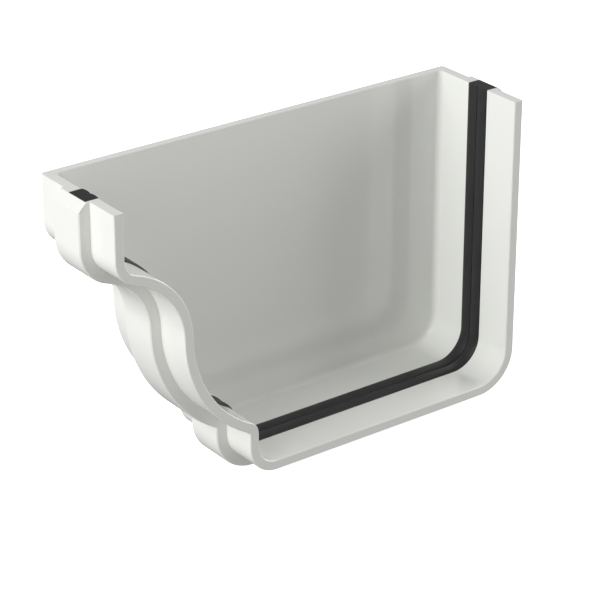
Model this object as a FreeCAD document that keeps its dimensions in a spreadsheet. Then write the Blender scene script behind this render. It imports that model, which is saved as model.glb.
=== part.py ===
import FreeCAD, Part
import os
import re
import Sketcher
from FreeCAD import Vector
from math import atan2, pi

# External stop end of an ogee rain gutter: a moulded cap with a rubber seal strip in it.
# X runs from the front lip to the back wall, the mouth faces -Y, Z is up.
# Each body is drawn from the foot of the back wall, on the plate's inner face.

# Driving sizes in millimetres
DRIVING_SIZES = [
    ("base_width", 76.3, "inside of the flat base, from the back wall to the quirk"),
    ("quirk_straight", 3.5, "upright part of the quirk, the small step in front of the base"),
    ("bowl_run", 17.9, "how far the bowl, the bulging lower curve, reaches forwards"),
    ("bowl_radius", 30.2, "inside radius of the bowl"),
    ("cove_run", 17.8, "how far the cove, the hollow upper curve, reaches forwards"),
    ("cove_radius", 20.8, "inside radius of the cove"),
    ("lip_straight", 11.4, "upright part of the front lip"),
    ("back_corner", 8.0, "inside radius between the back wall and the base"),
    ("toe_corner", 5.3, "inside radius between the base and the quirk"),
    ("lip_corner", 4.5, "inside radius between the cove and the lip"),
    ("crest_corner", 3.8, "inside radius between the quirk and the bowl"),
    ("crest_root", 0.5, "radius left outside the seal band where the quirk meets the bowl"),
    ("plate", 2.2, "thickness of the end plate"),
    ("plate_fillet", 1.5, "inside radius between the plate and the collar"),
    ("plate_bevel", 0.6, "bevelled outer edge of the plate"),
    ("wall", 2.5, "thickness of the collar"),
    ("rim_bevel", 0.2, "bevelled edges of the mouth"),
    ("mouth_length", 9.7, "collar in front of the seal band"),
    ("band_start", 7.8, "collar between the plate's inner face and the seal band"),
    ("band_step", 3.0, "height of the seal band above the collar"),
    ("band_edge", 0.3, "bevelled edges of the seal band"),
    ("band_slope", 2.1, "slope cut on the two top ends of the seal band"),
    ("far_cheek", 3.1, "seal band beside the groove, on the plate's side"),
    ("near_cheek", 0.6, "seal band beside the groove, on the mouth's side"),
    ("groove_width", 6.9, "groove for the seal, along Y"),
    ("groove_depth", 3.3, "groove for the seal, from the socket's inside"),
    ("seal_clearance", 0.1, "gap between the seal and each face of its groove"),
    ("seal_proud", 0.5, "how far the seal stands into the socket"),
    ("rib_rise", 0.5, "height of the seal's ribs"),
    ("valley_width", 0.9, "flat valley between two ribs of the seal"),
]
RIB_COUNT = 2

# Sizes that follow from the driving ones
BAND_OUTSIDE = "(wall + band_step)"
BAND_ROOT = "(0.6 * wall)"
BAND_CREST = f"(crest_root + {BAND_OUTSIDE})"
WAIST_X = "(base_width + bowl_run)"
SOCKET_WIDTH = f"({WAIST_X} + cove_run)"
BOWL_RISE = "sqrt(bowl_run * (2 * (bowl_radius + {}) - bowl_run))"
WAIST_HEIGHT = f"(toe_corner + quirk_straight + {BOWL_RISE.format('crest_corner')})"
COVE_HEIGHT = "sqrt(cove_run * (2 * (cove_radius + lip_corner) - cove_run))"
SOCKET_HEIGHT = f"({WAIST_HEIGHT} + {COVE_HEIGHT} + lip_straight)"
GROOVE_FAR = "(band_start + far_cheek)"
GROOVE_NEAR = f"({GROOVE_FAR} + groove_width)"
BAND_NEAR = f"({GROOVE_NEAR} + near_cheek)"
SOCKET_DEPTH = f"({BAND_NEAR} + mouth_length)"
PLATE_RIM = "(1.2 * plate_fillet)"
CUT_PAST = "(0.5 * wall)"
TOP_SLOPE = "min(band_slope; band_step)"
SEAL_FAR = f"({GROOVE_FAR} + seal_clearance)"
SEAL_WIDTH = "(groove_width - 2 * seal_clearance)"
RIB_WIDTH = f"(({SEAL_WIDTH} - {RIB_COUNT - 1} * valley_width) / {RIB_COUNT})"
RIB_PITCH = f"({RIB_WIDTH} + valley_width)"
RIB_BEVEL = f"min(0.8 * rib_rise; 0.4 * {RIB_WIDTH})"

# Sketch references
START, END, CENTRE = range(1, 4)
ORIGIN = (-1, 1)
LEVEL_AXIS, UPRIGHT_AXIS = range(-1, -3, -1)

doc = FreeCAD.newDocument("GutterEndCap")
sheet = doc.addObject("Spreadsheet::Sheet", "Sizes")
for row, (alias, value, note) in enumerate(DRIVING_SIZES, start=1):
    sheet.set(f"A{row}", note)
    sheet.set(f"B{row}", str(value))
    sheet.setAlias(f"B{row}", alias)
doc.recompute()


def from_sheet(formula):
    """The formula with each driving size written as a cell of the sheet."""
    for alias, _, _ in DRIVING_SIZES:
        formula = re.sub(rf"\b{alias}\b", f"Sizes.{alias}", formula)
    return formula


def worth(formula):
    """What the formula comes to, in millimetres."""
    return float(sheet.evalExpression(from_sheet(formula)))


def add_sketch(body, name, plane, height="0"):
    """A sketch on one of the body's own planes, or at a height above it."""
    sketch = body.newObject("Sketcher::SketchObject", name)
    support = [feature for feature in body.Origin.OriginFeatures if feature.Role == plane]
    sketch.AttachmentSupport = (support[0], [""])
    sketch.MapMode = "FlatFace"
    sketch.setExpression("AttachmentOffset.Base.z", from_sheet(height))
    return sketch


def constrain(sketch, kind, *places):
    return sketch.addConstraint(Sketcher.Constraint(kind, *places))


def bind(sketch, kind, places, formula):
    """A dimension of the sketch that follows a formula of driving sizes."""
    index = constrain(sketch, kind, *places, worth(formula))
    sketch.setExpression(f"Constraints[{index}]", from_sheet(formula))


def add_line(sketch, start, end):
    return sketch.addGeometry(Part.LineSegment(Vector(*start), Vector(*end)))


def add_arc(sketch, centre, radius, first_angle, last_angle):
    circle = Part.Circle(Vector(*centre), Vector(0, 0, 1), radius)
    return sketch.addGeometry(Part.ArcOfCircle(circle, first_angle, last_angle))


def draw_socket_outline(sketch, crest_radius, top, closed=False):
    """Inside of the socket, from the top of the back wall round to the top of the lip."""
    width, height = worth(SOCKET_WIDTH), worth(top)
    base, waist_x, waist = worth("base_width"), worth(WAIST_X), worth(WAIST_HEIGHT)
    back, toe, lip = worth("back_corner"), worth("toe_corner"), worth("lip_corner")
    crest, bowl, cove = worth(crest_radius), worth("bowl_radius"), worth("cove_radius")

    # The bowl and the cove meet upright at the waist, and end where the next arc is tangent to them.
    bowl_x, cove_x = bowl - waist_x, -cove - waist_x
    crest_x, crest_z = -base - crest, waist - worth(BOWL_RISE.format(crest_radius))
    lip_x, lip_z = lip - width, waist + worth(COVE_HEIGHT)
    bowl_end = atan2(waist - crest_z, bowl_x - crest_x)
    cove_end = atan2(lip_z - waist, lip_x - cove_x)

    back_wall = add_line(sketch, (0, height), (0, back))
    back_arc = add_arc(sketch, (-back, back), back, -pi / 2, 0)
    floor = add_line(sketch, (-back, 0), (toe - base, 0))
    toe_arc = add_arc(sketch, (toe - base, toe), toe, pi, 1.5 * pi)
    quirk = add_line(sketch, (-base, toe), (-base, crest_z))
    crest_arc = add_arc(sketch, (crest_x, crest_z), crest, 0, bowl_end)
    bowl_arc = add_arc(sketch, (bowl_x, waist), bowl, pi, pi + bowl_end)
    cove_arc = add_arc(sketch, (cove_x, waist), cove, 0, cove_end)
    lip_arc = add_arc(sketch, (lip_x, lip_z), lip, pi, pi + cove_end)
    lip_wall = add_line(sketch, (-width, lip_z), (-width, height))

    constrain(sketch, "Tangent", back_wall, END, back_arc, END)
    constrain(sketch, "Tangent", back_arc, START, floor, START)
    constrain(sketch, "Tangent", floor, END, toe_arc, END)
    constrain(sketch, "Tangent", toe_arc, START, quirk, START)
    constrain(sketch, "Tangent", quirk, END, crest_arc, START)
    constrain(sketch, "Tangent", crest_arc, END, bowl_arc, END)
    constrain(sketch, "Tangent", bowl_arc, START, cove_arc, START)
    constrain(sketch, "Tangent", cove_arc, END, lip_arc, END)
    constrain(sketch, "Tangent", lip_arc, START, lip_wall, START)
    for line in (back_wall, quirk, lip_wall):
        constrain(sketch, "Vertical", line)
    constrain(sketch, "Horizontal", floor)
    constrain(sketch, "Horizontal", bowl_arc, CENTRE, bowl_arc, START)
    constrain(sketch, "Horizontal", back_wall, START, lip_wall, END)
    constrain(sketch, "PointOnObject", back_wall, START, UPRIGHT_AXIS)
    constrain(sketch, "PointOnObject", floor, START, LEVEL_AXIS)

    bind(sketch, "Radius", (back_arc,), "back_corner")
    bind(sketch, "Radius", (toe_arc,), "toe_corner")
    bind(sketch, "Radius", (crest_arc,), crest_radius)
    bind(sketch, "Radius", (bowl_arc,), "bowl_radius")
    bind(sketch, "Radius", (cove_arc,), "cove_radius")
    bind(sketch, "Radius", (lip_arc,), "lip_corner")
    bind(sketch, "DistanceX", (quirk, START, *ORIGIN), "base_width")
    bind(sketch, "DistanceX", (bowl_arc, START, *ORIGIN), WAIST_X)
    bind(sketch, "DistanceX", (lip_wall, START, *ORIGIN), SOCKET_WIDTH)
    bind(sketch, "DistanceY", (*ORIGIN, bowl_arc, START), WAIST_HEIGHT)
    bind(sketch, "DistanceY", (*ORIGIN, back_wall, START), top)

    if closed:
        top_edge = add_line(sketch, (-width, height), (0, height))
        constrain(sketch, "Coincident", top_edge, START, lip_wall, END)
        constrain(sketch, "Coincident", top_edge, END, back_wall, START)


def draw_section(sketch, edges):
    """A closed section of edges that run along X and Y in turn.

    An edge is the axis that it lies square to, its place on that axis and, where the corner at its
    end isn't sharp, "round" or "bevel" and the size of that corner.
    """
    count = len(edges)
    places = [worth(edge[1]) for edge in edges]
    trims = [worth(edge[3]) if len(edge) > 2 else 0 for edge in edges]
    corners = []
    for index, edge in enumerate(edges):
        x, y = places[index], places[(index + 1) % count]
        corners.append(Vector(x, y) if edge[0] == "x" else Vector(y, x))
    ways = [(corners[index] - corners[index - 1]).normalize() for index in range(count)]

    lines = []
    for index, way in enumerate(ways):
        start = corners[index - 1] + way * trims[index - 1]
        end = corners[index] - way * trims[index]
        lines.append(sketch.addGeometry(Part.LineSegment(start, end)))

    for index, edge in enumerate(edges):
        line, next_line = lines[index], lines[(index + 1) % count]
        constrain(sketch, "Vertical" if edge[0] == "x" else "Horizontal", line)
        bind(sketch, "Distance" + edge[0].upper(), (*ORIGIN, line, START), edge[1])
        if len(edge) == 2:
            constrain(sketch, "Coincident", line, END, next_line, START)
            continue
        shape, size = edge[2:]
        trim, way, next_way = trims[index], ways[index], ways[(index + 1) % count]
        if shape == "bevel":
            bevel = add_line(sketch, corners[index] - way * trim, corners[index] + next_way * trim)
            constrain(sketch, "Coincident", line, END, bevel, START)
            constrain(sketch, "Coincident", bevel, END, next_line, START)
            for axis, advance in (("X", way.x + next_way.x), ("Y", way.y + next_way.y)):
                ends = (bevel, START, bevel, END) if advance > 0 else (bevel, END, bevel, START)
                bind(sketch, "Distance" + axis, ends, size)
            continue
        turns_left = way.cross(next_way).z > 0
        spoke = -next_way if turns_left else way
        first_angle = atan2(spoke.y, spoke.x)
        centre = corners[index] + (next_way - way) * trim
        arc = add_arc(sketch, centre, trim, first_angle, first_angle + pi / 2)
        constrain(sketch, "Tangent", line, END, arc, START if turns_left else END)
        constrain(sketch, "Tangent", arc, END if turns_left else START, next_line, START)
        bind(sketch, "Radius", (arc,), size)


def sweep_round_socket(body, name, edges, crest_radius, top=SOCKET_HEIGHT, kind="AdditivePipe"):
    """A section carried round the socket's outline, drawn where the outline starts."""
    path = add_sketch(body, name + "Path", "XZ_Plane")
    draw_socket_outline(path, crest_radius, top)
    section = add_sketch(body, name + "Section", "XY_Plane", top)
    draw_section(section, edges)
    pipe = body.newObject("PartDesign::" + kind, name)
    pipe.Profile = section
    pipe.Spine = path
    pipe.Mode = "Binormal"
    pipe.Binormal = Vector(0, 1, 0)


def draw_slope(sketch, outside, inwards):
    """Triangle that takes the outer corner off the top of the seal band, oversize outwards."""
    reach = worth(TOP_SLOPE)
    x, z = worth(outside) - inwards * reach, worth(SOCKET_HEIGHT) + reach
    corner, upper, lower = (x, z), (x + 3 * inwards * reach, z), (x, z - 3 * reach)
    top = add_line(sketch, corner, upper)
    slope = add_line(sketch, upper, lower)
    side = add_line(sketch, lower, corner)
    constrain(sketch, "Coincident", top, END, slope, START)
    constrain(sketch, "Coincident", slope, END, side, START)
    constrain(sketch, "Coincident", side, END, top, START)
    constrain(sketch, "Horizontal", top)
    constrain(sketch, "Vertical", side)
    bind(sketch, "DistanceX", (*ORIGIN, top, START), f"{outside} - {inwards} * {TOP_SLOPE}")
    bind(sketch, "DistanceY", (*ORIGIN, top, START), f"{SOCKET_HEIGHT} + {TOP_SLOPE}")
    ends = (top, START, top, END) if inwards > 0 else (top, END, top, START)
    bind(sketch, "DistanceX", ends, f"3 * {TOP_SLOPE}")
    bind(sketch, "DistanceY", (side, START, side, END), f"3 * {TOP_SLOPE}")


def place(body):
    """Origin below the middle of the cap, level with the underside of the seal band."""
    body.setExpression("Placement.Base.x", from_sheet(f"{SOCKET_WIDTH} / 2"))
    body.setExpression("Placement.Base.y", from_sheet(f"({SOCKET_DEPTH} - plate) / 2"))
    body.setExpression("Placement.Base.z", from_sheet(BAND_OUTSIDE))


def make_cap_body():
    body = doc.addObject("PartDesign::Body", "CapBody")
    body.Label = "cap_body"

    # Collar, from the mouth along the inside to the plate's rim and back along the outside
    sweep_round_socket(body, "Collar", [
        ("x", "0", "round", "plate_fillet"),
        ("y", "0"),
        ("x", f"-{PLATE_RIM}"),
        ("y", "plate", "bevel", "plate_bevel"),
        ("x", "wall", "bevel", "rim_bevel"),
        ("y", f"-{SOCKET_DEPTH}", "bevel", "rim_bevel"),
    ], "crest_corner")

    # Plate that closes the socket
    outline = add_sketch(body, "PlateOutline", "XZ_Plane")
    draw_socket_outline(outline, "crest_corner", SOCKET_HEIGHT, closed=True)
    plate = body.newObject("PartDesign::Pad", "Plate")
    plate.Profile = outline
    plate.Reversed = True
    plate.setExpression("Length", from_sheet("plate"))

    # Seal band, rooted in the collar, and the groove in it
    sweep_round_socket(body, "Band", [
        ("x", BAND_ROOT),
        ("y", "-band_start", "bevel", "band_edge"),
        ("x", BAND_OUTSIDE, "bevel", "band_edge"),
        ("y", f"-{BAND_NEAR}"),
    ], BAND_CREST)
    sweep_round_socket(body, "Groove", [
        ("x", f"-{CUT_PAST}"),
        ("y", f"-{GROOVE_FAR}"),
        ("x", "groove_depth"),
        ("y", f"-{GROOVE_NEAR}"),
    ], "crest_corner", f"({SOCKET_HEIGHT} + {CUT_PAST})", "SubtractivePipe")

    # Sloping top ends of the seal band, on the back wall and on the lip
    slopes = add_sketch(body, "BandSlopes", "XZ_Plane")
    draw_slope(slopes, BAND_OUTSIDE, -1)
    draw_slope(slopes, f"-({SOCKET_WIDTH} + {BAND_OUTSIDE})", 1)
    cut = body.newObject("PartDesign::Pocket", "BandSlopeCut")
    cut.Profile = slopes
    cut.Reversed = True
    cut.setExpression("Length", from_sheet(SOCKET_DEPTH))

    place(body)
    return body


def make_rubber_seal():
    body = doc.addObject("PartDesign::Body", "RubberSeal")
    body.Label = "rubber_seal"

    # Strip in the groove, with ribs along its crown
    edges = [("x", "groove_depth - seal_clearance"), ("y", f"-{SEAL_FAR}", "bevel", RIB_BEVEL)]
    for rib in range(RIB_COUNT):
        rib_end = f"-({SEAL_FAR} + {rib} * {RIB_PITCH} + {RIB_WIDTH})"
        edges.append(("x", "-seal_proud", "bevel", RIB_BEVEL))
        edges.append(("y", rib_end))
        if rib < RIB_COUNT - 1:
            next_start = f"-({SEAL_FAR} + {rib + 1} * {RIB_PITCH})"
            edges.append(("x", "rib_rise - seal_proud"))
            edges.append(("y", next_start, "bevel", RIB_BEVEL))
    sweep_round_socket(body, "Strip", edges, "crest_corner")

    place(body)
    return body


pieces = [make_cap_body(), make_rubber_seal()]
doc.recompute()

for item in doc.Objects:
    if "Invalid" in item.State or "Error" in item.State:
        raise RuntimeError(f"{item.Name} did not build")
for piece in pieces:
    if piece.Shape.isNull() or not piece.Shape.isValid():
        raise RuntimeError(f"{piece.Label} is not a valid solid")

os.makedirs("parts", exist_ok=True)
for piece in pieces:
    piece.Shape.exportStep(f"parts/{piece.Label}.step")
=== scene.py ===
from math import atan2, cos, pi, radians, sin, sqrt
import bpy
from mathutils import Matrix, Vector


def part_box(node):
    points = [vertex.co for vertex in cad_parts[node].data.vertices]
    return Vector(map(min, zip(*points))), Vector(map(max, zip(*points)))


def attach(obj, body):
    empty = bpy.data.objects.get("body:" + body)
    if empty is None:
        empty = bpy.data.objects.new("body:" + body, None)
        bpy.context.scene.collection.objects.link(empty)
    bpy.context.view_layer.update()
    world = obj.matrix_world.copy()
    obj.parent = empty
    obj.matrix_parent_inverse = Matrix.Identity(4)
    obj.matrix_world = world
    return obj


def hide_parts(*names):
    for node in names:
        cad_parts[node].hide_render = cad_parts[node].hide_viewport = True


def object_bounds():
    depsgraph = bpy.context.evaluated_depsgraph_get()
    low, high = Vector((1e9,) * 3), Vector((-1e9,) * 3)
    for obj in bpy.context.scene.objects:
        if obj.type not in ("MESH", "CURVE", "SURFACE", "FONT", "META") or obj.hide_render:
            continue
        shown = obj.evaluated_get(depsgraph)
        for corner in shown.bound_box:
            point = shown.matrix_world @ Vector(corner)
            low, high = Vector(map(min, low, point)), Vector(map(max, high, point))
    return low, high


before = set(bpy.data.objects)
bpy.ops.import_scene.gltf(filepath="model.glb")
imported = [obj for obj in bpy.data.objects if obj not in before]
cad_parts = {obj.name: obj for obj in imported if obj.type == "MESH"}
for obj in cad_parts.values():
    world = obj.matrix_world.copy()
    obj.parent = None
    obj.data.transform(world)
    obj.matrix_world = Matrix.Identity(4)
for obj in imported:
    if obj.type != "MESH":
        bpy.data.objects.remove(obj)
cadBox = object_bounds()
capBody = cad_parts["cap_body"]
mm = 0.001
print("frame loaded:", sorted(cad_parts))


# small helpers for pieces and materials
noiseSpan = (0.3, 0.7)            # nearly all values of a noise lie between these


def deselectAll():
    bpy.ops.object.select_all(action="DESELECT")


def newMaterial(name):
    material = bpy.data.materials.new(name)
    material.use_nodes = True
    return material, material.node_tree, material.node_tree.nodes["Principled BSDF"]


def giveMaterial(piece, material):
    piece.data.materials.clear()
    piece.data.materials.append(material)


def addNoise(tree, coords, scale, detail):
    noise = tree.nodes.new("ShaderNodeTexNoise")
    noise.inputs["Scale"].default_value = scale
    noise.inputs["Detail"].default_value = detail
    tree.links.new(coords, noise.inputs["Vector"])
    return noise.outputs["Fac"]


def addRange(tree, noise, low, high):
    spread = tree.nodes.new("ShaderNodeMapRange")
    spread.inputs["From Min"].default_value = noiseSpan[0]
    spread.inputs["From Max"].default_value = noiseSpan[1]
    spread.inputs["To Min"].default_value = low
    spread.inputs["To Max"].default_value = high
    tree.links.new(noise, spread.inputs["Value"])
    return spread.outputs["Result"]


def addColorMix(tree, factor, first, second):
    mix = tree.nodes.new("ShaderNodeMix")
    mix.data_type = "RGBA"
    mix.inputs[6].default_value = (*first, 1)     # 6 and 7 are its two colours, 2 the colour that comes out
    mix.inputs[7].default_value = (*second, 1)
    tree.links.new(factor, mix.inputs[0])
    return mix.outputs[2]


def addBump(tree, height, strength, depth, under=None):
    bump = tree.nodes.new("ShaderNodeBump")
    bump.inputs["Strength"].default_value = strength
    bump.inputs["Distance"].default_value = depth
    tree.links.new(height, bump.inputs["Height"])
    if under:
        tree.links.new(under, bump.inputs["Normal"])
    return bump.outputs["Normal"]


# white moulded plastic of the cap
capPlastic = {
    "whiteLow": (0.800, 0.808, 0.776),
    "whiteHigh": (0.828, 0.836, 0.803),
    "glossLow": 0.07,             # roughness where the tool was polished best
    "glossHigh": 0.12,
    "refraction": 1.53,
    "toneScale": 28,              # slow change of tone, in patches of a few centimetres
    "toneDetail": 3,
    "sinkScale": 140,             # shallow waves that a moulding shows in its reflections
    "sinkDetail": 2,
    "sinkStrength": 0.10,
    "sinkDepth": 0.4 * mm,
    "grainScale": 2600,           # fine skin
    "grainDetail": 3,
    "grainStrength": 0.04,
    "grainDepth": 0.05 * mm,
}


def makeCapPlastic(look):
    material, tree, shader = newMaterial("whitePlastic")
    coords = tree.nodes.new("ShaderNodeTexCoord").outputs["Object"]
    tone = addNoise(tree, coords, look["toneScale"], look["toneDetail"])
    sinks = addNoise(tree, coords, look["sinkScale"], look["sinkDetail"])
    grain = addNoise(tree, coords, look["grainScale"], look["grainDetail"])
    white = addColorMix(tree, tone, look["whiteLow"], look["whiteHigh"])
    gloss = addRange(tree, tone, look["glossLow"], look["glossHigh"])
    sinkBump = addBump(tree, sinks, look["sinkStrength"], look["sinkDepth"])
    grainBump = addBump(tree, grain, look["grainStrength"], look["grainDepth"], sinkBump)
    tree.links.new(white, shader.inputs["Base Color"])
    tree.links.new(gloss, shader.inputs["Roughness"])
    tree.links.new(grainBump, shader.inputs["Normal"])
    shader.inputs["IOR"].default_value = look["refraction"]
    return material


# soft round on the sharp edges of the moulding
capEdges = {
    "width": 0.12 * mm,
    "segments": 3,
    "angle": 32,                  # an edge that turns by more degrees is rounded
    "weldGap": 0.002 * mm,
}


def finishCap(piece, edges):
    for face in piece.data.polygons:
        face.use_smooth = True
    weld = piece.modifiers.new("weld", "WELD")
    weld.merge_threshold = edges["weldGap"]
    bevel = piece.modifiers.new("softEdges", "BEVEL")
    bevel.width = edges["width"]
    bevel.segments = edges["segments"]
    bevel.limit_method = "ANGLE"
    bevel.angle_limit = radians(edges["angle"])
    bevel.harden_normals = True
    normals = piece.modifiers.new("flatFaces", "WEIGHTED_NORMAL")
    normals.keep_sharp = True


giveMaterial(capBody, makeCapPlastic(capPlastic))
finishCap(capBody, capEdges)
print("cap body dressed")


# black rubber strip pressed into the groove of the seal band
sealStrip = {
    "bandOutside": 5.5 * mm,      # collar wall and band step, outside the socket
    "baseWidth": 76.3 * mm,
    "bowlRun": 17.9 * mm,
    "bowlRadius": 30.2 * mm,
    "coveRun": 17.8 * mm,
    "coveRadius": 20.8 * mm,
    "backCorner": 8.0 * mm,
    "toeCorner": 5.3 * mm,
    "lipCorner": 4.5 * mm,
    "crestCorner": 3.8 * mm,
    "crestHeight": 8.8 * mm,      # centre of the crest's arc above the socket's floor
    "proud": 0.5 * mm,            # how far the ribs stand into the socket
    "ribRise": 0.5 * mm,
    "ribCount": 2,
    "ribSteps": 10,               # straight pieces across one rounded rib
    "ribFullness": 0.7,           # 1 is half an ellipse, less is fuller
    "turnStep": 3,                # degrees for each straight piece of a bend
    "leastSteps": 4,              # straight pieces of the smallest bend
    "mergeGap": 0.001 * mm,
    "smoothAngle": 35,
}


def stripSection(strip, low, high):
    ribWidth = (high.y - low.y) / strip["ribCount"]
    depth = strip["bandOutside"] - (cadBox[1].x - high.x)     # how far it lies in the groove
    points = [(depth, high.y), (0.0, high.y)]
    for rib in range(strip["ribCount"]):
        for step in range(strip["ribSteps"] + 1):
            if rib and not step:
                continue          # the rib before it ended on this point
            turn = pi * step / strip["ribSteps"]
            rise = strip["proud"] - strip["ribRise"] * (1 - sin(turn) ** strip["ribFullness"])
            across = (rib + 0.5 - 0.5 * cos(turn)) * ribWidth
            points.append((-rise, high.y - across))
    points += [(0.0, low.y), (depth, low.y)]
    return points


def runAlong(offset):
    bpy.ops.mesh.extrude_region_move(TRANSFORM_OT_translate={"value": offset})


def turnRound(strip, centreX, centreZ, angle):
    steps = max(strip["leastSteps"], round(abs(angle) / radians(strip["turnStep"])))
    bpy.ops.mesh.spin(steps=steps, angle=-angle, center=(centreX, 0, centreZ), axis=(0, 1, 0))


def sweepStrip(strip, backX, floorZ, topZ):
    back, toe, lip = strip["backCorner"], strip["toeCorner"], strip["lipCorner"]
    crest, bowl, cove = strip["crestCorner"], strip["bowlRadius"], strip["coveRadius"]
    quirkX = backX - strip["baseWidth"]
    waistX = quirkX - strip["bowlRun"]            # where the bowl ends and the cove starts

    # centres of the four arcs of the ogee, and how far they turn
    crestX = quirkX - crest
    crestZ = floorZ + strip["crestHeight"]
    bowlX = waistX + bowl
    coveX = waistX - cove
    waistZ = crestZ + sqrt((bowl + crest) ** 2 - (bowlX - crestX) ** 2)
    lipX = waistX - strip["coveRun"] + lip
    lipZ = waistZ + sqrt((cove + lip) ** 2 - (lipX - coveX) ** 2)
    bowlTurn = atan2(waistZ - crestZ, bowlX - crestX)
    coveTurn = atan2(lipZ - waistZ, lipX - coveX)

    # down the back wall and along the base
    runAlong((0, 0, floorZ + back - topZ))
    turnRound(strip, backX - back, floorZ + back, pi / 2)
    runAlong((quirkX + toe - (backX - back), 0, 0))
    turnRound(strip, quirkX + toe, floorZ + toe, pi / 2)

    # up the ogee to the top of the lip
    runAlong((0, 0, crestZ - (floorZ + toe)))
    turnRound(strip, crestX, crestZ, -bowlTurn)
    turnRound(strip, bowlX, waistZ, bowlTurn)
    turnRound(strip, coveX, waistZ, -coveTurn)
    turnRound(strip, lipX, lipZ, coveTurn)
    runAlong((0, 0, topZ - lipZ))


def makeSealStrip(strip):
    low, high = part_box("rubber_seal")
    backX = cadBox[1].x - strip["bandOutside"]
    floorZ = cadBox[0].z + strip["bandOutside"]
    section = stripSection(strip, low, high)

    # the section starts at the top of the back wall
    deselectAll()
    bpy.ops.mesh.primitive_circle_add(vertices=len(section), radius=strip["proud"], fill_type="NOTHING")
    piece = bpy.context.object
    piece.name = "rubber_strip"
    for vertex, (out, y) in zip(piece.data.vertices, section):
        vertex.co = (backX + out, y, high.z)

    bpy.ops.object.mode_set(mode="EDIT")
    bpy.ops.mesh.select_all(action="SELECT")
    sweepStrip(strip, backX, floorZ, high.z)
    bpy.ops.mesh.select_all(action="SELECT")
    bpy.ops.mesh.remove_doubles(threshold=strip["mergeGap"])
    bpy.ops.mesh.fill_holes(sides=0)              # the two ends
    bpy.ops.mesh.select_all(action="SELECT")
    bpy.ops.mesh.normals_make_consistent(inside=False)
    bpy.ops.object.mode_set(mode="OBJECT")
    bpy.ops.object.shade_smooth_by_angle(angle=radians(strip["smoothAngle"]))
    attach(piece, "root")
    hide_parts("rubber_seal")
    return piece


rubberLook = {
    "blackLow": (0.008, 0.008, 0.009),
    "blackHigh": (0.024, 0.024, 0.025),
    "roughLow": 0.42,
    "roughHigh": 0.60,
    "bloomScale": 90,             # faint greyer patches
    "bloomDetail": 4,
    "skinScale": 1800,            # fine matt skin
    "skinDetail": 3,
    "skinStrength": 0.25,
    "skinDepth": 0.08 * mm,
}


def makeRubber(look):
    material, tree, shader = newMaterial("blackRubber")
    coords = tree.nodes.new("ShaderNodeTexCoord").outputs["Object"]
    bloom = addNoise(tree, coords, look["bloomScale"], look["bloomDetail"])
    skin = addNoise(tree, coords, look["skinScale"], look["skinDetail"])
    black = addColorMix(tree, bloom, look["blackLow"], look["blackHigh"])
    rough = addRange(tree, bloom, look["roughLow"], look["roughHigh"])
    skinBump = addBump(tree, skin, look["skinStrength"], look["skinDepth"])
    tree.links.new(black, shader.inputs["Base Color"])
    tree.links.new(rough, shader.inputs["Roughness"])
    tree.links.new(skinBump, shader.inputs["Normal"])
    return material


seal = makeSealStrip(sealStrip)
giveMaterial(seal, makeRubber(rubberLook))
print("rubber strip made:", len(seal.data.polygons), "faces")


# pale floor, whose glow whitens the picture and leaves the cap to the softboxes
floorLook = {"size": 4.0, "color": (0.86, 0.86, 0.86), "roughness": 0.9, "glow": 0.75}


def makeFloor(look):
    deselectAll()
    bpy.ops.mesh.primitive_plane_add(size=look["size"], location=(0, 0, cadBox[0].z))
    floor = bpy.context.object
    floor.name = "floor"
    material, _, shader = newMaterial("paleFloor")
    shader.inputs["Base Color"].default_value = (*look["color"], 1)
    shader.inputs["Roughness"].default_value = look["roughness"]
    shader.inputs["Emission Color"].default_value = (1, 1, 1, 1)
    shader.inputs["Emission Strength"].default_value = look["glow"]
    giveMaterial(floor, material)
    floor.visible_diffuse = False
    floor.visible_glossy = False


makeFloor(floorLook)
print("floor laid")


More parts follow.
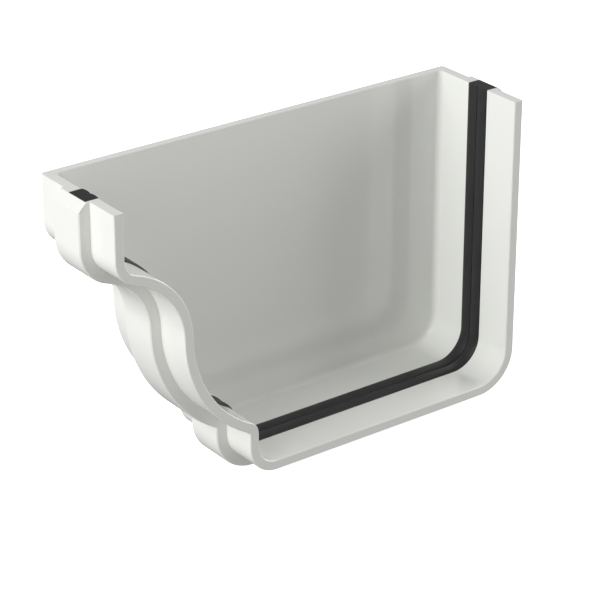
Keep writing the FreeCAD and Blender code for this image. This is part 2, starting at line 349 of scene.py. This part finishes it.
# soft studio light: even light all round, a softbox on each side, a low fill for the inside of the
# back wall, and one behind for the outer plate
studio = {"roomLevel": 0.33, "target": (0, 0, 0.04)}
softboxes = {
    "leftBox": {
        "power": 5.1, "size": 0.7, "place": (-0.748, -0.065, 0.439),
        "mirrored": True, "shadow": True,
    },
    "rightBox": {
        "power": 5.8, "size": 0.7, "place": (0.777, -0.223, 0.303),
        "mirrored": True, "shadow": True,
    },
    "fillBox": {
        "power": 2.5, "size": 0.7, "place": (-0.839, 0.029, 0.173),
        "mirrored": False, "shadow": False,       # so it reaches the whole wall, over the front lip
    },
    "backBox": {
        "power": 4.0, "size": 0.3, "place": (0.010, 0.850, 0.120),
        "mirrored": False, "shadow": True,        # mirrored, it would whiten the strip's top ends
    },
}


def aimAt(thing, place, target):
    thing.location = place
    thing.rotation_euler = (Vector(target) - Vector(place)).to_track_quat("-Z", "Y").to_euler()


def makeRoom(level):
    world = bpy.data.worlds.new("studioRoom")
    world.use_nodes = True
    background = world.node_tree.nodes["Background"]
    background.inputs["Color"].default_value = (1, 1, 1, 1)
    background.inputs["Strength"].default_value = level
    bpy.context.scene.world = world


def makeSoftbox(name, look):
    deselectAll()
    bpy.ops.object.light_add(type="AREA")
    softbox = bpy.context.object
    softbox.name = name
    softbox.data.energy = look["power"]
    softbox.data.size = look["size"]
    softbox.data.use_shadow = look["shadow"]
    # with it on, walls would still hold back part of a light that has no shadow
    softbox.data.cycles.use_multiple_importance_sampling = look["shadow"]
    softbox.visible_glossy = look["mirrored"]
    aimAt(softbox, look["place"], studio["target"])


makeRoom(studio["roomLevel"])
for boxName, boxLook in softboxes.items():
    makeSoftbox(boxName, boxLook)
print("lights set:", ", ".join(softboxes))


# camera at the photograph's angle
cameraView = {
    "azimuth": -36.65,
    "elevation": 25.0,
    "distance": 0.599,
    "lens": 150.7,
    "aim": (0.0010, -0.00105, 0.0425),
    "shiftX": 0.0062,
    "shiftY": -0.0311,
}


def makeCamera(look):
    turn, rise = radians(look["azimuth"]), radians(look["elevation"])
    back = Vector((sin(turn) * cos(rise), -cos(turn) * cos(rise), sin(rise)))
    aim = Vector(look["aim"])
    deselectAll()
    bpy.ops.object.camera_add()
    camera = bpy.context.object
    camera.data.lens = look["lens"]
    camera.data.shift_x = look["shiftX"]
    camera.data.shift_y = look["shiftY"]
    aimAt(camera, aim + back * look["distance"], aim)
    bpy.context.scene.camera = camera


makeCamera(cameraView)
bpy.context.scene.view_settings.view_transform = "Standard"
print("camera set")
